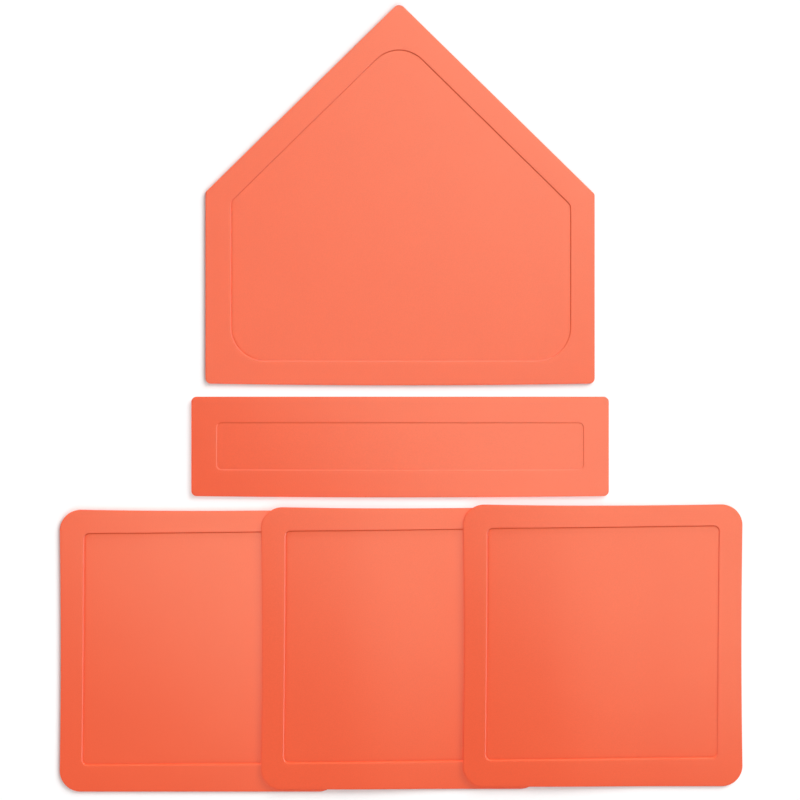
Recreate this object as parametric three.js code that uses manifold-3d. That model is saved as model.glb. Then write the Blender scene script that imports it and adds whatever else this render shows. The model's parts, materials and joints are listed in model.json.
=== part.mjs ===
// Throw-down baseball base set: a home plate, a pitcher's plate and three square bases.
// Every mat is one moulding of soft rubber, with a plain border round a sunken panel on top
// and a waffle of square grip pockets underneath. The bases lie in a row, each over the edge
// of the one on its left, and bend down to the ground behind that edge.
// Millimetres, +Z up, ground at z = 0, +Y towards the home plate's point.
import * as THREE from 'three';
import { mergeGeometries, mergeVertices } from 'three/addons/utils/BufferGeometryUtils.js';
import Module from 'manifold-3d';

const wasm = await Module();
wasm.setup();

// Rubber, the same on every mat
const matThickness = 4.5;
const edgeRound = 0.3;
const bowFade = 8; // how fast the bow of a trimmed side dies out behind it

// Home plate
const homeWidth = 432;
const homeSide = 211.4; // straight side, from the front corner to the shoulder
const homePointRise = 211.7; // from the shoulders to the sharp point
const homeSkew = 1.1; // the trimmed point leans this far to the left, and the shoulders go with it
const homeFrontBow = 1.9;
const homePointRadius = 7.5;
const homeShoulderRadius = 5;
const homeFrontRadius = 6;
const homeBorder = 26.7;
const homeRightBorder = 26;
const homeFrontBorder = 24.7;
const homeStepDepth = 0.75; // how far the panel lies below the border
const homeStepRun = 1.8; // plan width of the slope between them
const homePanelPointRadius = 37;
const homePanelShoulderRadius = 8;
const homePanelFrontRadius = 36.5;

// Pitcher's plate
const pitchersLength = 463.4;
const pitchersDepth = 110.4;
const pitchersFrontBow = 1.4;
const pitchersRadius = 6;
const pitchersSideBorder = 27.5;
const pitchersBackBorder = 28.6;
const pitchersFrontBorder = 28.9;
const pitchersStepDepth = 0.55;
const pitchersStepRun = 1.5;
const pitchersPanelRadius = 6;

// Square bases, all three alike
const baseWidth = 310;
const baseDepth = 312.7;
const baseSideBow = 1.1; // the trimmed sides are drawn in a little between their corners
const baseBackBow = 1.3;
const baseRadius = 23;
const baseLeftBorder = 24.4;
const baseRightBorder = 26;
const baseBackBorder = 24.2;
const baseFrontBorder = 29.4;
const baseStepDepth = 0.95;
const baseStepRun = 1;
const basePanelRadius = 5;
// The trim runs slightly askew to the moulded panel, so the panel's sides lean, in radians
const baseFrontLean = THREE.MathUtils.degToRad(0.47);
const baseRightLean = THREE.MathUtils.degToRad(-0.48);
const baseBackLean = THREE.MathUtils.degToRad(0.61);
const baseLeftLean = THREE.MathUtils.degToRad(-0.45);

// Waffle sole
const soleRim = 10;
const pocketPitch = 28;
const pocketRib = 4;
const pocketDepth = 1.5;
const pocketDraft = 0.8; // a pocket's floor lies this far inside its mouth on every side
const pocketOvercut = 1; // how far its cutter reaches out of the sole

// How the set lies
const baseOverlap = 86.1;
const baseStagger = 3; // each base lies this much further back than the one on its left
const baseClearance = 0.3; // between a base and the one under it
const drapeLead = 6; // a base stays level this far past the edge under it
const drapeLanding = 4; // and is down again this far before the next base begins
const pitchersGap = 9.3; // from the right base to the pitcher's plate
const homeGap = 14.5; // from the pitcher's plate to the home plate
const platesShift = -1.2; // the two plates' middle, from the middle of the row of bases

// Facets
const cornerSteps = 6;
const edgeSteps = 3;
const baseLongPoints = 11;
const baseShortPoints = 3;
const platePoints = 5;
const pitchersShortPoints = 1;

const corner = (x, y, radius) => ({ at: new THREE.Vector2(x, y), radius });

// Share of a side's bow at a distance from its middle, none from the corner onwards
const bowShare = (distance, reach) => Math.max(0, 1 - (distance / reach) ** 2);

// Corners run counterclockwise. The side from the last corner to the first crosses the mirror line.
function rectangle(width, depth, radius) {
  const x = width / 2;
  const y = depth / 2;
  return [corner(-x, -y, radius), corner(x, -y, radius), corner(x, y, radius), corner(-x, y, radius)];
}

function pentagon() {
  const x = homeWidth / 2;
  return [
    corner(x, 0, homeFrontRadius),
    corner(x, homeSide - homeSkew, homeShoulderRadius),
    corner(-homeSkew, homeSide + homePointRise, homePointRadius),
    corner(-x, homeSide + homeSkew, homeShoulderRadius),
    corner(-x, 0, homeFrontRadius),
  ];
}

// Inward normal of the side that follows a corner
function inwardNormal(corners, i) {
  const from = corners.at(i).at;
  const to = corners[(i + 1 + corners.length) % corners.length].at;
  const along = to.clone().sub(from).normalize();
  return new THREE.Vector2(-along.y, along.x);
}

// Moves each side inwards by its own distance and gives each corner a new radius.
function inset(corners, distances, radii) {
  return corners.map(({ at }, i) => {
    const before = inwardNormal(corners, i - 1);
    const after = inwardNormal(corners, i);
    const cosine = before.dot(after);
    const near = distances.at(i - 1);
    const far = distances[i];
    const alongBefore = (near - cosine * far) / (1 - cosine * cosine);
    const alongAfter = (far - cosine * near) / (1 - cosine * cosine);
    const moved = at.clone().addScaledVector(before, alongBefore).addScaledVector(after, alongAfter);
    return corner(moved.x, moved.y, radii[i]);
  });
}

// The same inset on every side, with every radius changed by the same amount
function insetEvenly(corners, distance, radiusChange) {
  const distances = corners.map(() => distance);
  return inset(corners, distances, corners.map(({ radius }) => radius + radiusChange));
}

// Turns each side about its middle by its own small angle.
function leaned(corners, angles) {
  return corners.map(({ at, radius }, i) => {
    const lengthBefore = at.distanceTo(corners.at(i - 1).at);
    const lengthAfter = at.distanceTo(corners[(i + 1) % corners.length].at);
    const moved = at.clone();
    moved.addScaledVector(inwardNormal(corners, i - 1), (angles.at(i - 1) * lengthBefore) / 2);
    moved.addScaledVector(inwardNormal(corners, i), (-angles[i] * lengthAfter) / 2);
    return corner(moved.x, moved.y, radius);
  });
}

function cornerArc(corners, i) {
  const { at, radius } = corners[i];
  const before = inwardNormal(corners, i - 1);
  const after = inwardNormal(corners, i);
  const reach = radius / (1 + before.dot(after));
  const centre = at.clone().addScaledVector(before, reach).addScaledVector(after, reach);
  const start = before.negate().angle();
  const end = after.negate().angle();
  return new THREE.EllipseCurve(centre.x, centre.y, radius, radius, start, end).getPoints(cornerSteps);
}

// Rounded outline that starts in the middle of the closing side, so that point k and the
// k-th point from the end face each other across the mirror line.
function outline(corners, pointsOnSides) {
  const arcs = corners.map((_, i) => cornerArc(corners, i));
  const points = arcs.flatMap((arc, i) => {
    const from = arc.at(-1);
    const to = arcs[(i + 1) % arcs.length][0];
    const steps = pointsOnSides[i] + 1;
    const side = Array.from({ length: steps - 1 }, (_, s) => from.clone().lerp(to, (s + 1) / steps));
    return [...arc, ...side];
  });
  const firstHalf = (pointsOnSides.at(-1) + 1) / 2;
  return [...points.slice(-firstHalf), ...points.slice(0, -firstHalf)];
}

// Closes a ring of points: a fan at each end, and strips across the mirror line between them.
function capTriangles(count, end) {
  const half = count / 2;
  const triangles = [];
  for (let k = -end; k < end - 1; k++) {
    triangles.push([end, (k + count) % count, (k + 1 + count) % count]);
  }
  for (let k = end; k < half - end; k++) {
    triangles.push([k, k + 1, count - k - 1], [k, count - k - 1, count - k]);
  }
  for (let k = half - end + 1; k < half + end; k++) {
    triangles.push([half - end, k, k + 1]);
  }
  return triangles;
}

// Skin over a stack of rings, from the sole's rim up over the edge and in to the panel
function loft(rings, end) {
  const count = rings[0].length;
  const top = (rings.length - 1) * count;
  const triangles = [];
  for (let band = 0; band < top; band += count) {
    for (let k = 0; k < count; k++) {
      const low = band + k;
      const lowNext = band + ((k + 1) % count);
      triangles.push([low, lowNext, lowNext + count], [low, lowNext + count, low + count]);
    }
  }
  for (const [a, b, c] of capTriangles(count, end)) {
    triangles.push([a, c, b], [top + a, top + b, top + c]);
  }
  const geometry = new THREE.BufferGeometry().setFromPoints(rings.flat());
  geometry.setIndex(triangles.flat());
  return geometry;
}

function liftBy(geometry, lift) {
  const place = geometry.attributes.position;
  for (let i = 0; i < place.count; i++) {
    place.setZ(i, place.getZ(i) + lift(place.getX(i)));
  }
  return geometry;
}

function toSolid(geometry) {
  const welded = mergeVertices(geometry);
  const vertProperties = welded.attributes.position.array;
  const triVerts = Uint32Array.from(welded.index.array);
  return new wasm.Manifold(new wasm.Mesh({ numProp: 3, vertProperties, triVerts }));
}

function toGeometry(solid) {
  const { vertProperties, triVerts } = solid.getMesh();
  const geometry = new THREE.BufferGeometry();
  geometry.setAttribute('position', new THREE.BufferAttribute(vertProperties, 3));
  geometry.setIndex(new THREE.BufferAttribute(triVerts, 1));
  geometry.computeVertexNormals();
  return geometry;
}

// Square pocket with drafted walls, its mouth on the sole at the origin
function pocketCutter() {
  const mouth = (pocketPitch - pocketRib) / 2;
  const outer = mouth + (pocketDraft * pocketOvercut) / pocketDepth;
  const floor = mouth - pocketDraft;
  const height = pocketDepth + pocketOvercut;
  const cutter = new THREE.CylinderGeometry(
    floor * Math.SQRT2, outer * Math.SQRT2, height, 4, 1, false, Math.PI / 4);
  cutter.deleteAttribute('normal');
  cutter.deleteAttribute('uv');
  return cutter.rotateX(Math.PI / 2).translate(0, 0, height / 2 - pocketOvercut);
}

// Whether a pocket leaves the plain rim whole on every side
function clearsRim(corners, x, y) {
  const mouth = (pocketPitch - pocketRib) / 2;
  return corners.every(({ at }, i) => {
    const normal = inwardNormal(corners, i);
    const depth = (x - at.x) * normal.x + (y - at.y) * normal.y;
    return depth - mouth * (Math.abs(normal.x) + Math.abs(normal.y)) >= soleRim;
  });
}

function waffle(corners) {
  const box = new THREE.Box2().setFromPoints(corners.map(({ at }) => at));
  const size = box.getSize(new THREE.Vector2());
  const middle = box.getCenter(new THREE.Vector2());
  const columns = Math.floor((size.x - 2 * soleRim + pocketRib) / pocketPitch);
  const rows = Math.floor((size.y - 2 * soleRim + pocketRib) / pocketPitch);
  const cutters = [];
  for (let row = 0; row < rows; row++) {
    for (let column = 0; column < columns; column++) {
      const x = middle.x + (column - (columns - 1) / 2) * pocketPitch;
      const y = middle.y + (row - (rows - 1) / 2) * pocketPitch;
      if (clearsRim(corners, x, y)) {
        cutters.push(pocketCutter().translate(x, y, 0));
      }
    }
  }
  return mergeGeometries(cutters);
}

// One mat: the rings of its sole, edge, border, step and panel, skinned and cut by its waffle
function mat({ corners, pointsOnSides, bow, panel, stepDepth, stepRun, lift = () => 0 }) {
  const at = (z) => (point) => new THREE.Vector3(point.x, point.y, z);
  const edgeRing = (distance, z) => {
    return outline(insetEvenly(corners, distance, -distance), pointsOnSides).map(bow).map(at(z));
  };
  const panelRing = (distance, radiusChange, z) => {
    return outline(insetEvenly(panel, distance, radiusChange), pointsOnSides).map(bow).map(at(z));
  };
  const rings = [edgeRing(0, 0), edgeRing(0, matThickness - edgeRound)];
  for (let step = 1; step <= edgeSteps; step++) {
    const angle = (step / edgeSteps) * (Math.PI / 2);
    const height = matThickness - edgeRound * (1 - Math.sin(angle));
    rings.push(edgeRing(edgeRound * (1 - Math.cos(angle)), height));
  }
  rings.push(panelRing(0, 0, matThickness));
  rings.push(panelRing(stepRun, -stepRun, matThickness - stepDepth));
  const end = (pointsOnSides.at(-1) + 3) / 2;
  const body = toSolid(liftBy(loft(rings, end), lift));
  return toGeometry(body.subtract(toSolid(liftBy(waffle(corners), lift))));
}

function homePlate() {
  const corners = pentagon();
  const borders = [homeRightBorder, homeBorder, homeBorder, homeBorder, homeFrontBorder];
  const radii = [
    homePanelFrontRadius,
    homePanelShoulderRadius,
    homePanelPointRadius,
    homePanelShoulderRadius,
    homePanelFrontRadius,
  ];
  const bow = (point) => {
    const nearFront = Math.max(0, 1 - point.y / homeSide) ** bowFade;
    point.y -= homeFrontBow * nearFront * bowShare(point.x, homeWidth / 2 - homeFrontRadius);
    return point;
  };
  const pointsOnSides = [0, 0, 0, 0, platePoints];
  const panel = inset(corners, borders, radii);
  return mat({ corners, pointsOnSides, bow, panel, stepDepth: homeStepDepth, stepRun: homeStepRun });
}

function pitchersPlate() {
  const corners = rectangle(pitchersLength, pitchersDepth, pitchersRadius);
  const borders = [pitchersFrontBorder, pitchersSideBorder, pitchersBackBorder, pitchersSideBorder];
  const panel = inset(corners, borders, corners.map(() => pitchersPanelRadius));
  const bow = (point) => {
    const nearFront = Math.max(0, -point.y / (pitchersDepth / 2));
    point.y -= pitchersFrontBow * nearFront * bowShare(point.x, pitchersLength / 2 - pitchersRadius);
    return point;
  };
  const pointsOnSides = [platePoints, pitchersShortPoints, platePoints, pitchersShortPoints];
  return mat({ corners, pointsOnSides, bow, panel, stepDepth: pitchersStepDepth, stepRun: pitchersStepRun });
}

function squareBase(lift) {
  const corners = rectangle(baseWidth, baseDepth, baseRadius);
  const borders = [baseFrontBorder, baseRightBorder, baseBackBorder, baseLeftBorder];
  const straight = inset(corners, borders, corners.map(() => basePanelRadius));
  const panel = leaned(straight, [baseFrontLean, baseRightLean, baseBackLean, baseLeftLean]);
  const bow = (point) => {
    const nearSide = Math.abs(point.x / (baseWidth / 2)) ** bowFade;
    const nearBack = Math.max(0, point.y / (baseDepth / 2)) ** bowFade;
    const sideBow = baseSideBow * nearSide * bowShare(point.y, baseDepth / 2 - baseRadius);
    point.y -= baseBackBow * nearBack * bowShare(point.x, baseWidth / 2 - baseRadius);
    point.x -= Math.sign(point.x) * sideBow;
    return point;
  };
  const pointsOnSides = [baseLongPoints, baseShortPoints, baseLongPoints, baseShortPoints];
  return mat({ corners, pointsOnSides, bow, panel, stepDepth: baseStepDepth, stepRun: baseStepRun, lift });
}

// Height of a base above the ground: level over its neighbour's border, then eased down behind the edge
function drape(x) {
  const level = matThickness + baseClearance;
  const start = baseOverlap - baseWidth / 2 + drapeLead;
  const end = baseWidth / 2 - baseOverlap - drapeLanding;
  return level * (1 - THREE.MathUtils.smoothstep(x, start, end));
}

function addMat(name, geometry, x, y) {
  const rubber = new THREE.MeshStandardMaterial({ color: 0xf26a47, roughness: 0.55, metalness: 0 });
  const mesh = new THREE.Mesh(geometry, rubber);
  mesh.name = name;
  mesh.position.set(x, y, 0);
  group.add(mesh);
}

// Places along Y, first from the left base's front edge and then from the middle of the whole set
const pitchersFront = baseDepth + 2 * baseStagger + pitchersGap;
const homeFront = pitchersFront + pitchersDepth + homeGap;
const halfPointAngle = Math.atan2(homeWidth / 2, homePointRise);
const pointRounding = homePointRadius * (1 / Math.sin(halfPointAngle) - 1);
const setDepth = homeFront + homeSide + homePointRise - pointRounding;
const baseSpacing = baseWidth - baseOverlap;
const leftBaseY = baseDepth / 2 - setDepth / 2;

const group = new THREE.Group();
addMat('home_plate', homePlate(), platesShift, homeFront - setDepth / 2);
addMat('pitchers_plate', pitchersPlate(), platesShift, pitchersFront + pitchersDepth / 2 - setDepth / 2);
addMat('base_left', squareBase(), -baseSpacing, leftBaseY);
addMat('base_middle', squareBase(drape), 0, leftBaseY + baseStagger);
addMat('base_right', squareBase(drape), baseSpacing, leftBaseY + 2 * baseStagger);

export default group;
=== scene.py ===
"""Throw-down baseball base set: five mats of soft orange rubber on a white studio floor.

Every mat is one moulding: a plain border, a step down to a sunken panel, and a waffle of grip
pockets in the sole. A geometry node tree lofts each mat from a guide ring and a section, bends
it over the mat below and cuts its waffle. Metres, +Z up, +Y towards the home plate's point.
"""
import json
import math

import bpy
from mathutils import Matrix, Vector

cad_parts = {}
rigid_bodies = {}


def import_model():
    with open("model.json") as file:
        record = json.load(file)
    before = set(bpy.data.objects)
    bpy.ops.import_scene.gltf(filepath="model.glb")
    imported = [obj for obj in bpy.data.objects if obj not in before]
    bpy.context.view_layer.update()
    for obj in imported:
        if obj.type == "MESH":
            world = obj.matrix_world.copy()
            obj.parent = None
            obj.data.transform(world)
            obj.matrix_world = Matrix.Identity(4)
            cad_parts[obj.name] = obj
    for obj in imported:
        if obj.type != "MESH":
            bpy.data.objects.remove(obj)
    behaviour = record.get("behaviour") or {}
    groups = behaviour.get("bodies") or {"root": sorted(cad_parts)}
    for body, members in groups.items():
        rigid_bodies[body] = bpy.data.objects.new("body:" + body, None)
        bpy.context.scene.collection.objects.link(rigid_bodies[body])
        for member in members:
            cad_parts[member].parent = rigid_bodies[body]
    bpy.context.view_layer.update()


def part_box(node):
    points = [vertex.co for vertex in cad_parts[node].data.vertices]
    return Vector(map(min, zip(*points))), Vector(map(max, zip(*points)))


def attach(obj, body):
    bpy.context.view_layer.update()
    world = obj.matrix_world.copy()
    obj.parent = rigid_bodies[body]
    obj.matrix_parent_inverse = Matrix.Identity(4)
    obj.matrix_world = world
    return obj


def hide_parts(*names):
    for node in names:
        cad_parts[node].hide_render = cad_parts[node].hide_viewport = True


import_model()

# Rubber, the same on every mat
LEFT_LO, LEFT_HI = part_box("base_left")
_, MIDDLE_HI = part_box("base_middle")
RIGHT_LO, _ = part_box("base_right")
THICKNESS = LEFT_HI.z - LEFT_LO.z
EDGE_ROUND = 0.0003
FOOT_ROUND = 0.0003
BOW_FADE = 8
STEP_LIP = 0.0004
STEP_FOOT = 0.0004
FOOT_INSET = 0.0035
EASE_RUN = 0.009
GLOSS_SHARE = 0.039
RUBBER_TINTS = ((0.840, 0.078, 0.013, 1), (0.850, 0.081, 0.014, 1))
RUBBER_ROUGHNESS = (0.385, 0.415)
FLECK_LEVELS = (0.97, 1.02)
FLOW_SCALE = 16
MATT_SCALE = 45
FLECK_SCALE = 900
GRAIN_SCALE = 1500
GRAIN_STRENGTH = 0.12
GRAIN_DEPTH = 0.0002

# Home plate
HOME_SIDE = 0.2114
HOME_POINT_RISE = 0.2117
HOME_SKEW = 0.0011
HOME_FRONT_BOW = 0.0019
HOME_RADII = {"point": 0.0075, "shoulder": 0.005, "front": 0.006}
HOME_PANEL_RADII = {"point": 0.037, "shoulder": 0.008, "front": 0.038}
HOME_BORDERS = {"right": 0.026, "roof": 0.0267, "left": 0.0274, "front": 0.0247}
HOME_STEP = (0.0009, math.radians(44))
HOME_MOAT = 0.0003
HOME_CORE_INSET = 0.03
HOME_SPINE_REACH = 0.09

# Pitcher's plate
PITCHERS_FRONT_BOW = 0.0014
PITCHERS_RADIUS = 0.006
PITCHERS_BORDERS = {"front": 0.0289, "side": 0.0275, "back": 0.0286}
PITCHERS_PANEL_RADIUS = 0.006
PITCHERS_STEP = (0.0006, math.radians(44))
PITCHERS_CORE_INSET = 0.012
PITCHERS_SPINE_REACH = 0.18

# Square bases
BASE_SIDE_BOW = 0.0011
BASE_BACK_BOW = 0.0013
BASE_RADIUS = 0.023
BASE_BORDERS = {"front": 0.0294, "right": 0.026, "back": 0.0242, "left": 0.0248}
BASE_PANEL_RADIUS = 0.007
BASE_LEANS = {"front": 0.47, "right": -0.48, "back": 0.61, "left": -0.45}
BASE_STEP = (0.0012, math.radians(44))
BASE_MOAT = {"left": 0.0004, "front": 0.0002}
BASE_BACK_BANK = 0.0004
BASE_CORE_INSET = 0.02
BASE_SPINE_REACH = 0.095

# Bend of a base over the one on its left
DRAPE_LEAD = 0.006
DRAPE_LANDING = 0.004
DRAPE_HEIGHT = MIDDLE_HI.z - THICKNESS
DRAPE_RUN = RIGHT_LO.x - DRAPE_LANDING - LEFT_HI.x - DRAPE_LEAD

# Waffle sole
SOLE_RIM = 0.010
POCKET_PITCH = 0.028
POCKET_RIB = 0.004
POCKET_DEPTH = 0.0015
POCKET_DRAFT = 0.0008
POCKET_OVERCUT = 0.001
POCKET_CORNER = 0.002
POCKET_LIP = 0.0003

# Fineness of the mesh
CORNER_STEPS = 16
EDGE_STEPS = 8
FOOT_STEPS = 4
STEP_ARC_STEPS = 5
POCKET_CORNER_STEPS = 3
HOME_SIDE_POINTS = (31, 41, 41, 31, 61)
PITCHERS_SIDE_POINTS = (121, 21, 121, 21)
BASE_SIDE_POINTS = (61, 61, 61, 61)
SOLE_PLACES = (4.0, 3.5, 3.0, 2.0, 1.0, 0.7, 0.4, 0.15)
BORDER_PLACES = (0.12, 0.3, 0.5, 0.7, 0.88)
EASE_SHARES = (0.015, 0.035, 0.06, 0.1, 0.15, 0.21, 0.28, 0.38, 0.5, 0.64, 0.8, 1.0)
PANEL_PLACES = (3.0, 3.33, 3.67, 4.0)
WELD = 1e-6
CREASE = math.radians(24)

# Studio light: the level that a flat white surface sends back is 1
WORLD_LIGHT = 0.12
LAMPS = (
    # name, level, azimuth, elevation, angle, what it lights, what casts shadows in it
    ("mats_key", 0.28, 45, 34, 28, "mats", "mats"),
    ("mats_fill", 0.20, 85, 28, 50, "mats", "ground"),
    ("bases_top", 0.36, 180, 62, 90, "bases", "ground"),
    ("bases_back", 0.035, 90, 8, 12, "bases", "ground"),
    ("plates_top", 0.41, 0, 90, 90, "plates", "ground"),
    ("floor_key", 0.40, 45, 38, 40, "ground", "mats"),
    ("floor_front", 0.17, 300, 46, 50, "ground", "home_and_left"),
    ("floor_top", 0.40, 0, 72, 90, "ground", "home_and_bases"),
)
STRIP_SIZE = (6.4, 0.42)
STRIP_DISTANCE = 3.0
STRIP_ELEVATION = 4
STRIPS = (
    # azimuth, what it glints on, glow
    (0, "bases", 27.0),
    (180, "bases", 7.0),
    (0, "plates", 23.0),
    (90, "plates", 11.0),
)
SHEEN_COLOUR = (1.0, 0.97, 0.72)
SOFTBOXES = (
    # mat, azimuth, elevation, distance, size, glow
    ("home_plate", 48, 53, 1.10, 1.20, 3.65),
    ("home_plate", 60, 88, 1.50, 1.20, 2.6),
    ("pitchers_plate", 40, 55, 0.42, 0.77, 3.8),
    ("base_left", 50, 65, 0.46, 0.60, 3.95),
    ("base_middle", 48, 61, 0.46, 0.60, 3.7),
    ("base_right", 44, 55, 0.39, 0.60, 3.55),
)

# Floor: the shown colour is what the picture and reflections see, the plain one what lights the mats
FLOOR_REACH = 8.0
FLOOR_LEVEL = -0.0001
FLOOR_PLAIN = (0.8, 0.8, 0.8, 1)
FLOOR_SHOWN = (0.95, 0.95, 0.95, 1)

# Photograph: straight down, 888 mm across the picture at the mats' tops
VIEW_MIDDLE = Vector((-0.00126, -0.0018))
VIEW_WIDTH = 0.888
VIEW_DISTANCE = 3.1
SENSOR_WIDTH = 36.0


# Outlines: corners are (place, radius), counterclockwise, and the last side crosses the mirror line

def inward_normal(corners, i):
    along = (corners[(i + 1) % len(corners)][0] - corners[i][0]).normalized()
    return Vector((-along.y, along.x))


def inset(corners, distances, radii):
    """Moves each side inwards by its own distance and gives each corner a new radius."""
    moved = []
    for i, (at, _) in enumerate(corners):
        before, after = inward_normal(corners, i - 1), inward_normal(corners, i)
        cosine = before.dot(after)
        spread = 1 - cosine * cosine
        near, far = distances[i - 1], distances[i]
        shift = before * ((near - cosine * far) / spread) + after * ((far - cosine * near) / spread)
        moved.append((at + shift, radii[i]))
    return moved


def leaned(corners, angles):
    """Turns each side about its middle by its own small angle."""
    made = []
    for i, (at, radius) in enumerate(corners):
        before, after = inward_normal(corners, i - 1), inward_normal(corners, i)
        last, following = corners[i - 1][0], corners[(i + 1) % len(corners)][0]
        shift = before * (angles[i - 1] * (at - last).length / 2)
        shift -= after * (angles[i] * (following - at).length / 2)
        made.append((at + shift, radius))
    return made


def corner_arc(corners, i):
    at, radius = corners[i]
    before, after = inward_normal(corners, i - 1), inward_normal(corners, i)
    centre = at + (before + after) * (radius / (1 + before.dot(after)))
    start = math.atan2(-before.y, -before.x)
    sweep = before.angle(after)
    angles = [start + sweep * step / CORNER_STEPS for step in range(CORNER_STEPS + 1)]
    return [centre + radius * Vector((math.cos(a), math.sin(a))) for a in angles]


def rounded_outline(corners, side_points):
    """Points from the middle of the last side round to it, so that point k faces point -k."""
    arcs = [corner_arc(corners, i) for i in range(len(corners))]
    points = []
    for i, arc in enumerate(arcs):
        target = arcs[(i + 1) % len(arcs)][0]
        steps = side_points[i] + 1
        points += arc + [arc[-1].lerp(target, s / steps) for s in range(1, steps)]
    first = (side_points[-1] + 1) // 2
    return points[-first:] + points[:-first]


def bow_share(distance, reach):
    """Share of a side's bow at a distance from its middle, none from the corner onwards."""
    return max(0.0, 1 - (distance / reach) ** 2)


def eased(facing):
    """Rises from 0 to 1 while a step turns from square on to half towards a direction."""
    share = min(1.0, max(0.0, 2 * facing))
    return share * share * (3 - 2 * share)


def rectangle(width, depth, radius):
    x, y = width / 2, depth / 2
    return [(Vector(at), radius) for at in ((-x, -y), (x, -y), (x, y), (-x, y))]


# Plain mesh helpers

def line_mesh(name, points, closed):
    count = len(points)
    edges = [(k, (k + 1) % count) for k in range(count if closed else count - 1)]
    mesh = bpy.data.meshes.new(name)
    mesh.from_pydata([(*point, 0.0)[:3] for point in points], edges, [])
    return mesh


def helper_object(name, mesh):
    made = bpy.data.objects.new(name, mesh)
    bpy.context.collection.objects.link(made)
    return made


def guide_ring(name, middle, corners, bow, panel, side_points, core_inset, spine_reach, **foot_shape):
    """The mat's outline, carrying for each point its places on the panel's edge, on the even ring past
    the step's foot, on the core and on the spine, and the moat's depth or the bank's height there."""
    rim = [bow(point) for point in rounded_outline(corners, side_points)]
    edge = [bow(point) for point in rounded_outline(panel, side_points)]
    past = inset(panel, [FOOT_INSET] * len(panel), [radius - FOOT_INSET for _, radius in panel])
    foot = [bow(point) for point in rounded_outline(past, side_points)]
    inner = inset(panel, [core_inset] * len(panel), [radius for _, radius in panel])
    core = [bow(point) for point in rounded_outline(inner, side_points)]
    heart = sum(core, Vector((0, 0))) / len(core)
    spine = []
    for k, point in enumerate(core):
        between = (point + core[-k]) / 2 - heart
        if between.length > spine_reach:
            between = between.normalized() * spine_reach
        spine.append(heart + between)
    mesh = line_mesh(name, [point + middle for point in rim], closed=True)
    for word, points in (("panel", edge), ("foot", foot), ("core", core), ("spine", spine)):
        places = mesh.attributes.new(word, "FLOAT_VECTOR", "POINT")
        flat = [part for point in points for part in (*(point + middle), 0.0)]
        places.data.foreach_set("vector", flat)
    for word in ("moat", "bank"):
        amounts = mesh.attributes.new(word, "FLOAT", "POINT")
        for k in range(len(edge)):
            along = (edge[(k + 1) % len(edge)] - edge[k - 1]).normalized()
            amounts.data[k].value = foot_shape[word](along.y, -along.x) if word in foot_shape else 0.0
    return helper_object(name, mesh)


def step_rows(depth, slope):
    """Slope from the border down to the panel, rounded at its lip and its foot."""
    sin, cos = math.sin(slope), math.cos(slope)
    straight = (depth - (STEP_LIP + STEP_FOOT) * (1 - cos)) / sin
    width = (STEP_LIP + STEP_FOOT) * sin + straight * cos
    rows = []
    for share in range(STEP_ARC_STEPS + 1):
        angle = slope * share / STEP_ARC_STEPS
        rows.append((STEP_LIP * math.sin(angle), STEP_LIP * (1 - math.cos(angle))))
    for share in range(STEP_ARC_STEPS + 1):
        angle = slope * (1 - share / STEP_ARC_STEPS)
        rows.append((width - STEP_FOOT * math.sin(angle), depth - STEP_FOOT * (1 - math.cos(angle))))
    return rows


def mat_section(name, border, core_inset, step):
    """Rows of (place, share of the foot's shape, height) from the middle of the sole, round the edge, to
    the panel's middle. Place 0 is the rim, 1 the panel's edge, 2 past its foot, 3 its core, 4 its spine."""
    rows = [(place, 0.0, 0.0) for place in SOLE_PLACES]
    for share in range(FOOT_STEPS + 1):
        angle = math.pi / 2 * share / FOOT_STEPS
        inward = FOOT_ROUND * (1 - math.sin(angle))
        rows.append((inward / border, 0.0, FOOT_ROUND * (1 - math.cos(angle))))
    for share in range(EDGE_STEPS + 1):
        angle = math.pi / 2 * share / EDGE_STEPS
        inward = EDGE_ROUND * (1 - math.cos(angle))
        rows.append((inward / border, 0.0, THICKNESS - EDGE_ROUND * (1 - math.sin(angle))))
    rows += [(place, 0.0, THICKNESS) for place in BORDER_PLACES]
    wall = step_rows(*step)
    foot, depth = wall[-1]
    rows += [(1 + across / FOOT_INSET, drop / depth, THICKNESS - drop) for across, drop in wall]
    floor = THICKNESS - depth
    for share in EASE_SHARES:
        across = foot + EASE_RUN * share
        place = 1 + across / FOOT_INSET
        if place > 2:
            place = 2 + (across - FOOT_INSET) / (core_inset - FOOT_INSET)
        rows.append((place, (1 - share) ** 2, floor))
    rows += [(place, 0.0, floor) for place in PANEL_PLACES]
    return helper_object(name, line_mesh(name, rows, False))


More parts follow.
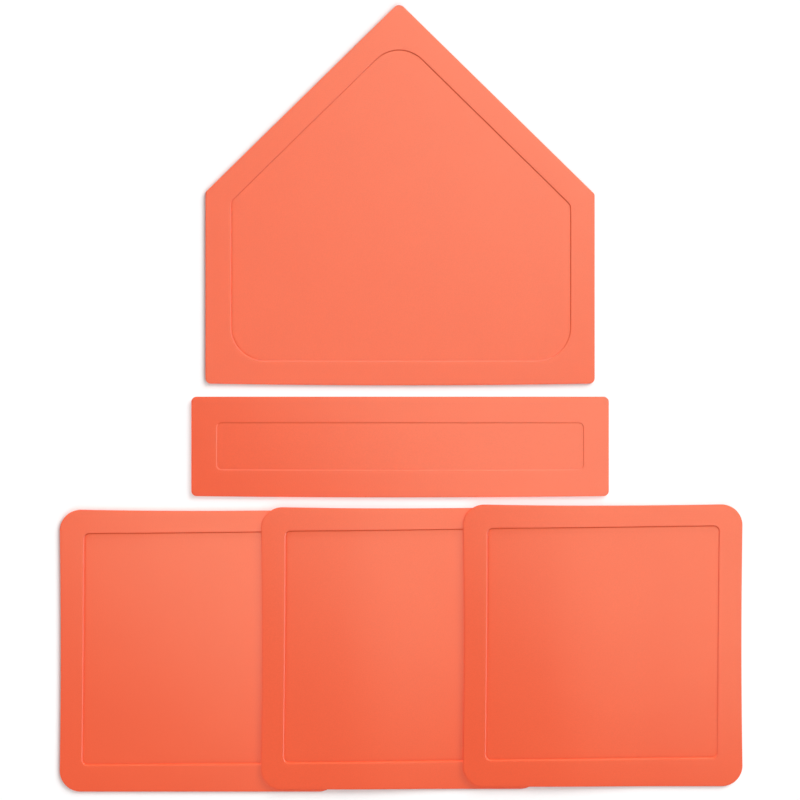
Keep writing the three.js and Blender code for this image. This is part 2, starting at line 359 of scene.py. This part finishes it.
def grip_pocket(name):
    """Cutter for one square pocket: lipped mouth on the sole, drafted walls, rounded corners."""
    mouth = (POCKET_PITCH - POCKET_RIB) / 2
    slant = POCKET_DRAFT / POCKET_DEPTH
    levels = (
        (mouth + POCKET_LIP + POCKET_OVERCUT, -POCKET_OVERCUT),
        (mouth - slant * POCKET_LIP, POCKET_LIP),
        (mouth - POCKET_DRAFT + slant * POCKET_LIP, POCKET_DEPTH - POCKET_LIP),
        (mouth - POCKET_DRAFT - POCKET_LIP, POCKET_DEPTH),
    )
    points = []
    for half, height in levels:
        for quarter in range(4):
            for step in range(POCKET_CORNER_STEPS + 1):
                angle = math.pi / 2 * (quarter + step / POCKET_CORNER_STEPS)
                x = (half - POCKET_CORNER) * (1 if quarter in (0, 3) else -1)
                y = (half - POCKET_CORNER) * (1 if quarter in (0, 1) else -1)
                x += POCKET_CORNER * math.cos(angle)
                y += POCKET_CORNER * math.sin(angle)
                points.append((x, y, height))
    count = 4 * (POCKET_CORNER_STEPS + 1)
    faces = [tuple(reversed(range(count)))]
    for level in range(len(levels) - 1):
        low = level * count
        for k in range(count):
            after = (k + 1) % count
            faces.append((low + k, low + after, low + count + after, low + count + k))
    faces.append(tuple(range((len(levels) - 1) * count, len(levels) * count)))
    mesh = bpy.data.meshes.new(name)
    mesh.from_pydata(points, [], faces)
    return helper_object(name, mesh)


# Geometry nodes

def add_node(tree, kind, inputs=None, **settings):
    """New node with its settings made and its inputs linked or set."""
    made = tree.nodes.new(kind)
    for word, value in settings.items():
        setattr(made, word, value)
    for socket, source in (inputs or {}).items():
        if isinstance(source, bpy.types.NodeSocket):
            tree.links.new(source, made.inputs[socket])
        else:
            made.inputs[socket].default_value = source
    return made


def math_node(tree, operation, a, b=0.0):
    return add_node(tree, "ShaderNodeMath", {0: a, 1: b}, operation=operation).outputs[0]


MAT_INPUTS = (
    ("Guide", "NodeSocketGeometry"),
    ("Section", "NodeSocketObject"),
    ("Pocket", "NodeSocketObject"),
    ("Pocket Pitch", "NodeSocketFloat"),
    ("Pocket Columns", "NodeSocketInt"),
    ("Pocket Rows", "NodeSocketInt"),
    ("Pocket Field Middle", "NodeSocketVector"),
    ("Pocket Rim Clearance", "NodeSocketFloat"),
    ("Drape Height", "NodeSocketFloat"),
    ("Drape Start", "NodeSocketFloat"),
    ("Drape End", "NodeSocketFloat"),
    ("Rubber", "NodeSocketMaterial"),
)


def draped(tree, geometry, given):
    """Lifts what lies over the neighbour and eases it down to the ground behind that edge."""
    place = add_node(tree, "GeometryNodeInputPosition").outputs[0]
    x = add_node(tree, "ShaderNodeSeparateXYZ", {0: place}).outputs[0]
    ease = add_node(tree, "ShaderNodeMapRange", {
        "Value": x, 1: given["Drape Start"], 2: given["Drape End"], 3: given["Drape Height"], 4: 0.0,
    }, interpolation_type="SMOOTHSTEP").outputs[0]
    offset = add_node(tree, "ShaderNodeCombineXYZ", {2: ease}).outputs[0]
    return add_node(tree, "GeometryNodeSetPosition", {0: geometry, "Offset": offset}).outputs[0]


def lofted_body(tree, given):
    """Closed skin: a grid whose columns run round the guide ring and whose rows follow the section."""
    guide = given["Guide"]
    section = add_node(tree, "GeometryNodeObjectInfo", {0: given["Section"]}).outputs["Geometry"]
    columns = add_node(tree, "GeometryNodeAttributeDomainSize", {0: guide}).outputs[0]
    rows = add_node(tree, "GeometryNodeAttributeDomainSize", {0: section}).outputs[0]
    round_trip = math_node(tree, "ADD", columns, 1.0)
    grid = add_node(tree, "GeometryNodeMeshGrid", {2: round_trip, 3: rows}).outputs[0]
    index = add_node(tree, "GeometryNodeInputIndex").outputs[0]
    column = math_node(tree, "FLOOR", math_node(tree, "DIVIDE", math_node(tree, "ADD", index, 0.5), rows))
    row = math_node(tree, "SUBTRACT", index, math_node(tree, "MULTIPLY", column, rows))
    column = math_node(tree, "MODULO", column, columns)
    place = add_node(tree, "GeometryNodeInputPosition").outputs[0]

    def sampled(source, value, at, kind="FLOAT_VECTOR"):
        found = add_node(tree, "GeometryNodeSampleIndex", {0: source}, data_type=kind)
        tree.links.new(value, found.inputs[1])
        tree.links.new(at, found.inputs[2])
        return found.outputs[0]

    here = add_node(tree, "ShaderNodeSeparateXYZ", {0: sampled(section, place, row)})
    point = sampled(guide, place, column)
    for step, word in enumerate(("panel", "foot", "core", "spine")):
        stored = add_node(tree, "GeometryNodeInputNamedAttribute", {"Name": word}, data_type="FLOAT_VECTOR")
        share = math_node(tree, "SUBTRACT", here.outputs[0], float(step))
        mixed = add_node(tree, "ShaderNodeMix", {
            0: share, 4: point, 5: sampled(guide, stored.outputs[0], column),
        }, data_type="VECTOR")
        point = mixed.outputs[1]
    height = here.outputs[2]
    for word, sharpness, operation in (("moat", 4.0, "SUBTRACT"), ("bank", 1.0, "ADD")):
        stored = add_node(tree, "GeometryNodeInputNamedAttribute", {"Name": word}, data_type="FLOAT")
        share = math_node(tree, "POWER", here.outputs[1], sharpness)
        part = math_node(tree, "MULTIPLY", sampled(guide, stored.outputs[0], column, "FLOAT"), share)
        height = math_node(tree, operation, height, part)
    flat = add_node(tree, "ShaderNodeSeparateXYZ", {0: point})
    risen = add_node(tree, "ShaderNodeCombineXYZ", {0: flat.outputs[0], 1: flat.outputs[1], 2: height})
    skin = add_node(tree, "GeometryNodeSetPosition", {0: grid, "Position": risen.outputs[0]}).outputs[0]
    return add_node(tree, "GeometryNodeMergeByDistance", {0: skin, "Distance": WELD}).outputs[0]


def pocket_field(tree, given):
    """One cutter at each grid point that stays clear of the plain rim."""
    across = math_node(tree, "MULTIPLY", math_node(tree, "SUBTRACT", given["Pocket Columns"], 1.0),
                       given["Pocket Pitch"])
    along = math_node(tree, "MULTIPLY", math_node(tree, "SUBTRACT", given["Pocket Rows"], 1.0),
                      given["Pocket Pitch"])
    grid = add_node(tree, "GeometryNodeMeshGrid", {
        0: across, 1: along, 2: given["Pocket Columns"], 3: given["Pocket Rows"],
    }).outputs[0]
    moved = add_node(tree, "GeometryNodeSetPosition", {
        0: grid, "Offset": given["Pocket Field Middle"],
    }).outputs[0]
    near = add_node(tree, "GeometryNodeProximity", {0: given["Guide"]}, target_element="EDGES")
    inside_rim = math_node(tree, "LESS_THAN", near.outputs["Distance"], given["Pocket Rim Clearance"])
    kept = add_node(tree, "GeometryNodeDeleteGeometry", {
        0: moved, 1: inside_rim,
    }, domain="POINT").outputs[0]
    pocket = add_node(tree, "GeometryNodeObjectInfo", {0: given["Pocket"]}).outputs["Geometry"]
    placed = add_node(tree, "GeometryNodeInstanceOnPoints", {0: kept, "Instance": pocket}).outputs[0]
    return add_node(tree, "GeometryNodeRealizeInstances", {0: placed}).outputs[0]


def moulded_mat_tree():
    tree = bpy.data.node_groups.new("moulded_mat", "GeometryNodeTree")
    for word, kind in MAT_INPUTS:
        tree.interface.new_socket(name=word, in_out="INPUT", socket_type=kind)
    tree.interface.new_socket(name="Mat", in_out="OUTPUT", socket_type="NodeSocketGeometry")
    given = {socket.name: socket for socket in tree.nodes.new("NodeGroupInput").outputs if socket.name}
    body = draped(tree, lofted_body(tree, given), given)
    cutters = draped(tree, pocket_field(tree, given), given)
    cut = add_node(tree, "GeometryNodeMeshBoolean", operation="DIFFERENCE", solver="MANIFOLD")
    tree.links.new(body, cut.inputs["Mesh 1"])
    tree.links.new(cutters, cut.inputs["Mesh 2"])
    solid = add_node(tree, "GeometryNodeRealizeInstances", {0: cut.outputs[0]}).outputs[0]
    done = add_node(tree, "GeometryNodeSetMaterial", {0: solid, "Material": given["Rubber"]}).outputs[0]
    tree.links.new(done, tree.nodes.new("NodeGroupOutput").inputs[0])
    return tree


def field_count(length):
    return int((length - 2 * SOLE_RIM + POCKET_RIB) / POCKET_PITCH + 1e-6)


def moulded_mat(node, tree, guide, section, pocket, rubber, field, drape_start=None):
    """Runs the tree on one guide ring and leaves a plain mesh that stands for the CAD node."""
    mouth = (POCKET_PITCH - POCKET_RIB) / 2
    (field_x, field_y), (width, depth) = field
    bends = drape_start is not None
    values = {
        "Section": section,
        "Pocket": pocket,
        "Pocket Pitch": POCKET_PITCH,
        "Pocket Columns": field_count(width),
        "Pocket Rows": field_count(depth),
        "Pocket Field Middle": (field_x, field_y, 0.0),
        "Pocket Rim Clearance": SOLE_RIM + mouth * math.sqrt(2),
        "Drape Height": DRAPE_HEIGHT if bends else 0.0,
        "Drape Start": drape_start if bends else -1.0,
        "Drape End": drape_start + DRAPE_RUN if bends else 1.0,
        "Rubber": rubber,
    }
    modifier = guide.modifiers.new("mould", "NODES")
    modifier.node_group = tree
    for item in tree.interface.items_tree:
        if item.in_out == "INPUT" and item.name in values:
            modifier[item.identifier] = values[item.name]
    depsgraph = bpy.context.evaluated_depsgraph_get()
    mesh = bpy.data.meshes.new_from_object(guide.evaluated_get(depsgraph), depsgraph=depsgraph)
    guide.modifiers.remove(modifier)
    bpy.data.objects.remove(guide)
    mesh.name = node
    mesh.shade_smooth()
    mesh.set_sharp_from_angle(angle=CREASE)
    piece = helper_object(node + "_rubber", mesh)
    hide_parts(node)
    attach(piece, node)
    return piece


# The five mats

def home_plate(tree, pocket, rubber):
    lo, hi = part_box("home_plate")
    middle = Vector(((lo.x + hi.x) / 2, lo.y + HOME_FRONT_BOW))
    x, top = (hi.x - lo.x) / 2, HOME_SIDE + HOME_POINT_RISE
    words = ("front", "shoulder", "point", "shoulder", "front")
    places = ((x, 0), (x, HOME_SIDE - HOME_SKEW), (-HOME_SKEW, top), (-x, HOME_SIDE + HOME_SKEW), (-x, 0))
    corners = [(Vector(at), HOME_RADII[word]) for at, word in zip(places, words)]
    borders = [HOME_BORDERS[word] for word in ("right", "roof", "roof", "left", "front")]
    panel = inset(corners, borders, [HOME_PANEL_RADII[word] for word in words])

    def bow(point):
        near_front = max(0.0, 1 - point.y / HOME_SIDE) ** BOW_FADE
        share = near_front * bow_share(point.x, x - HOME_RADII["front"])
        return Vector((point.x, point.y - HOME_FRONT_BOW * share))

    def moat(out_x, out_y):
        return HOME_MOAT * eased(-out_x - max(0.0, out_y))

    guide = guide_ring("home_guide", middle, corners, bow, panel, HOME_SIDE_POINTS,
                       HOME_CORE_INSET, HOME_SPINE_REACH, moat=moat)
    section = mat_section("home_section", HOME_BORDERS["roof"], HOME_CORE_INSET, HOME_STEP)
    field = (middle + Vector((0, top / 2)), (2 * x, top))
    return moulded_mat("home_plate", tree, guide, section, pocket, rubber, field)


def pitchers_plate(tree, pocket, rubber):
    lo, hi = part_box("pitchers_plate")
    length, depth = hi.x - lo.x, hi.y - lo.y - PITCHERS_FRONT_BOW
    middle = Vector(((lo.x + hi.x) / 2, hi.y - depth / 2))
    corners = rectangle(length, depth, PITCHERS_RADIUS)
    borders = [PITCHERS_BORDERS[word] for word in ("front", "side", "back", "side")]
    panel = inset(corners, borders, [PITCHERS_PANEL_RADIUS] * 4)

    def bow(point):
        near_front = max(0.0, -point.y / (depth / 2))
        share = near_front * bow_share(point.x, length / 2 - PITCHERS_RADIUS)
        return Vector((point.x, point.y - PITCHERS_FRONT_BOW * share))

    guide = guide_ring("pitchers_guide", middle, corners, bow, panel, PITCHERS_SIDE_POINTS,
                       PITCHERS_CORE_INSET, PITCHERS_SPINE_REACH)
    section = mat_section("pitchers_section", PITCHERS_BORDERS["side"], PITCHERS_CORE_INSET, PITCHERS_STEP)
    return moulded_mat("pitchers_plate", tree, guide, section, pocket, rubber, (middle, (length, depth)))


def square_base(node, tree, pocket, rubber, drape_start=None):
    lo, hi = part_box(node)
    width, depth = hi.x - lo.x, hi.y - lo.y
    middle = Vector(((lo.x + hi.x) / 2, (lo.y + hi.y) / 2))
    corners = rectangle(width, depth, BASE_RADIUS)
    words = ("front", "right", "back", "left")
    straight = inset(corners, [BASE_BORDERS[word] for word in words], [BASE_PANEL_RADIUS] * 4)
    panel = leaned(straight, [math.radians(BASE_LEANS[word]) for word in words])

    def bow(point):
        near_side = abs(point.x / (width / 2)) ** BOW_FADE
        near_back = max(0.0, point.y / (depth / 2)) ** BOW_FADE
        side_bow = BASE_SIDE_BOW * near_side * bow_share(point.y, depth / 2 - BASE_RADIUS)
        back_bow = BASE_BACK_BOW * near_back * bow_share(point.x, width / 2 - BASE_RADIUS)
        return Vector((point.x - math.copysign(side_bow, point.x), point.y - back_bow))

    def moat(out_x, out_y):
        return max(BASE_MOAT["left"] * eased(-out_x), BASE_MOAT["front"] * eased(-out_y))

    def bank(out_x, out_y):
        return BASE_BACK_BANK * max(0.0, out_y) ** 2

    guide = guide_ring(node + "_guide", middle, corners, bow, panel, BASE_SIDE_POINTS,
                       BASE_CORE_INSET, BASE_SPINE_REACH, moat=moat, bank=bank)
    section = mat_section(node + "_section", BASE_BORDERS["right"], BASE_CORE_INSET, BASE_STEP)
    return moulded_mat(node, tree, guide, section, pocket, rubber, (middle, (width, depth)), drape_start)


# Rubber

def orange_rubber():
    """Orange rubber, faintly mottled where the mix flowed, with a fine matt grain and a weak gloss that
    stays as weak at a glancing angle."""
    made = bpy.data.materials.new("orange_rubber")
    made.use_nodes = True
    tree = made.node_tree
    shader = tree.nodes["Principled BSDF"]
    place = add_node(tree, "ShaderNodeTexCoord").outputs["Object"]

    def noise(scale, detail):
        return add_node(tree, "ShaderNodeTexNoise", {
            "Vector": place, "Scale": scale, "Detail": detail, "Roughness": 0.5,
        }).outputs["Fac"]

    def spread(value, low, high, to_low, to_high):
        return add_node(tree, "ShaderNodeMapRange", {
            0: value, 1: low, 2: high, 3: to_low, 4: to_high,
        }).outputs[0]

    flow = spread(noise(FLOW_SCALE, 3), 0.3, 0.7, 0.0, 1.0)
    tint = add_node(tree, "ShaderNodeMix", {
        0: flow, 6: RUBBER_TINTS[0], 7: RUBBER_TINTS[1],
    }, data_type="RGBA").outputs[2]
    fleck = spread(noise(FLECK_SCALE, 2), 0.35, 0.65, *FLECK_LEVELS)
    colour = add_node(tree, "ShaderNodeMix", {
        0: 1.0, 6: tint, 7: fleck,
    }, data_type="RGBA", blend_type="MULTIPLY")
    tree.links.new(colour.outputs[2], shader.inputs["Base Color"])
    matt = spread(noise(MATT_SCALE, 3), 0.3, 0.7, *RUBBER_ROUGHNESS)
    tree.links.new(matt, shader.inputs["Roughness"])
    grain = add_node(tree, "ShaderNodeBump", {
        "Strength": GRAIN_STRENGTH, "Distance": GRAIN_DEPTH, "Height": noise(GRAIN_SCALE, 2),
    })
    tree.links.new(grain.outputs[0], shader.inputs["Normal"])
    shader.inputs["Specular IOR Level"].default_value = 0.0
    gloss = add_node(tree, "ShaderNodeBsdfAnisotropic", {
        "Color": (1, 1, 1, 1), "Roughness": matt, "Normal": grain.outputs[0],
    })
    skin = add_node(tree, "ShaderNodeMixShader", {
        0: GLOSS_SHARE, 1: shader.outputs[0], 2: gloss.outputs[0],
    })
    tree.links.new(skin.outputs[0], tree.nodes["Material Output"].inputs["Surface"])
    return made


# Studio

def seen_rays(tree):
    """1 on rays that show the background, straight or in a reflection, and 0 on rays that light."""
    path = add_node(tree, "ShaderNodeLightPath")
    seen = math_node(tree, "ADD", path.outputs["Is Camera Ray"], path.outputs["Is Glossy Ray"])
    seen = math_node(tree, "ADD", seen, path.outputs["Is Transmission Ray"])
    return math_node(tree, "MINIMUM", seen, 1.0)


def white_floor():
    mesh = bpy.data.meshes.new("floor")
    signs = ((-1, -1), (1, -1), (1, 1), (-1, 1))
    corners = [(x * FLOOR_REACH, y * FLOOR_REACH, FLOOR_LEVEL) for x, y in signs]
    mesh.from_pydata(corners, [], [(0, 1, 2, 3)])
    white = bpy.data.materials.new("white_floor")
    white.use_nodes = True
    tree = white.node_tree
    tree.nodes.remove(tree.nodes["Principled BSDF"])
    plain = add_node(tree, "ShaderNodeBsdfDiffuse", {"Color": FLOOR_PLAIN})
    shown = add_node(tree, "ShaderNodeBsdfDiffuse", {"Color": FLOOR_SHOWN})
    mixed = add_node(tree, "ShaderNodeMixShader", {
        0: seen_rays(tree), 1: plain.outputs[0], 2: shown.outputs[0],
    })
    tree.links.new(mixed.outputs[0], tree.nodes["Material Output"].inputs["Surface"])
    mesh.materials.append(white)
    floor = helper_object("floor", mesh)
    return floor


def studio_world():
    """Even soft light, and plain white wherever the picture or a reflection looks past the floor."""
    world = bpy.data.worlds.new("studio")
    bpy.context.scene.world = world
    world.use_nodes = True
    tree = world.node_tree
    light = tree.nodes["Background"]
    light.inputs["Color"].default_value = (1, 1, 1, 1)
    light.inputs["Strength"].default_value = WORLD_LIGHT
    white = add_node(tree, "ShaderNodeBackground", {"Color": (1, 1, 1, 1), "Strength": 1.0})
    mixed = add_node(tree, "ShaderNodeMixShader", {
        0: seen_rays(tree), 1: light.outputs[0], 2: white.outputs[0],
    })
    tree.links.new(mixed.outputs[0], tree.nodes["World Output"].inputs["Surface"])


def direction(azimuth, elevation):
    flat = math.cos(elevation)
    return Vector((flat * math.cos(azimuth), flat * math.sin(azimuth), math.sin(elevation)))


def collected(name, members):
    made = bpy.data.collections.new(name)
    for member in members:
        made.objects.link(member)
    return made


def broad_lamp(name, level, azimuth, elevation, angle, lit, shading):
    """Broad soft light on one group of things, in which another group casts the shadows."""
    lamp = bpy.data.lights.new(name, "SUN")
    lamp.angle = math.radians(angle)
    lamp.energy = math.pi * level / math.sin(math.radians(elevation))
    made = helper_object(name, lamp)
    towards = direction(math.radians(azimuth), math.radians(elevation))
    made.rotation_euler = towards.to_track_quat("Z", "Y").to_euler()
    made.visible_glossy = False
    made.light_linking.receiver_collection = lit
    made.light_linking.blocker_collection = shading


def low_strip(azimuth, mats, glow):
    """Long low reflector that glints on the steps which face it."""
    lamp = bpy.data.lights.new("low_strip", "AREA")
    lamp.shape = "RECTANGLE"
    lamp.size, lamp.size_y = STRIP_SIZE
    lamp.energy = glow * math.pi * lamp.size * lamp.size_y
    lamp.cycles.use_multiple_importance_sampling = False
    made = helper_object("low_strip", lamp)
    towards = direction(math.radians(azimuth), math.radians(STRIP_ELEVATION))
    made.location = towards * STRIP_DISTANCE
    made.rotation_euler = towards.to_track_quat("Z", "Y").to_euler()
    made.visible_camera = False
    made.visible_diffuse = False
    made.light_linking.receiver_collection = mats


def softbox(mat, node, azimuth, elevation, distance, size, glow):
    """Reflector whose soft sheen lies over one mat only, strongest towards the box."""
    lo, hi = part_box(node)
    lamp = bpy.data.lights.new(node + "_softbox", "AREA")
    lamp.shape = "SQUARE"
    lamp.size = size
    lamp.color = SHEEN_COLOUR
    lamp.energy = glow * math.pi * size * size
    lamp.cycles.use_multiple_importance_sampling = False
    made = helper_object(node + "_softbox", lamp)
    towards = direction(math.radians(azimuth), math.radians(elevation))
    middle = Vector(((lo.x + hi.x) / 2, (lo.y + hi.y) / 2, 0.0))
    made.location = middle + towards * distance
    made.rotation_euler = towards.to_track_quat("Z", "Y").to_euler()
    made.visible_camera = False
    made.visible_diffuse = False
    made.light_linking.receiver_collection = collected(node + "_sheen", [mat])


def overhead_camera():
    data = bpy.data.cameras.new("camera")
    data.sensor_width = SENSOR_WIDTH
    data.lens = SENSOR_WIDTH * VIEW_DISTANCE / VIEW_WIDTH
    made = helper_object("camera", data)
    made.location = (VIEW_MIDDLE.x, VIEW_MIDDLE.y, VIEW_DISTANCE + THICKNESS)
    bpy.context.scene.camera = made


def build():
    overhead_camera()
    tree = moulded_mat_tree()
    pocket = grip_pocket("grip_pocket")
    rubber = orange_rubber()
    mats = {
        "home_plate": home_plate(tree, pocket, rubber),
        "pitchers_plate": pitchers_plate(tree, pocket, rubber),
        "base_left": square_base("base_left", tree, pocket, rubber),
        "base_middle": square_base("base_middle", tree, pocket, rubber, LEFT_HI.x + DRAPE_LEAD),
        "base_right": square_base("base_right", tree, pocket, rubber, MIDDLE_HI.x + DRAPE_LEAD),
    }
    for made in list(bpy.data.objects):
        if made.name.endswith("_section") or made.name == "grip_pocket":
            bpy.data.objects.remove(made)
    bases = [mat for node, mat in mats.items() if node.startswith("base")]
    groups = {
        "mats": collected("mats", mats.values()),
        "bases": collected("bases", bases),
        "plates": collected("plates", [mats["home_plate"], mats["pitchers_plate"]]),
        "home_and_bases": collected("home_and_bases", bases + [mats["home_plate"]]),
        "home_and_left": collected("home_and_left", [mats["home_plate"], mats["base_left"]]),
        "ground": collected("ground", [white_floor()]),
    }
    studio_world()
    for *lamp, lit, shading in LAMPS:
        broad_lamp(*lamp, groups[lit], groups[shading])
    for azimuth, lit, glow in STRIPS:
        low_strip(azimuth, groups[lit], glow)
    for node, *box in SOFTBOXES:
        softbox(mats[node], node, *box)
    bpy.context.scene.view_settings.view_transform = "Standard"


build()
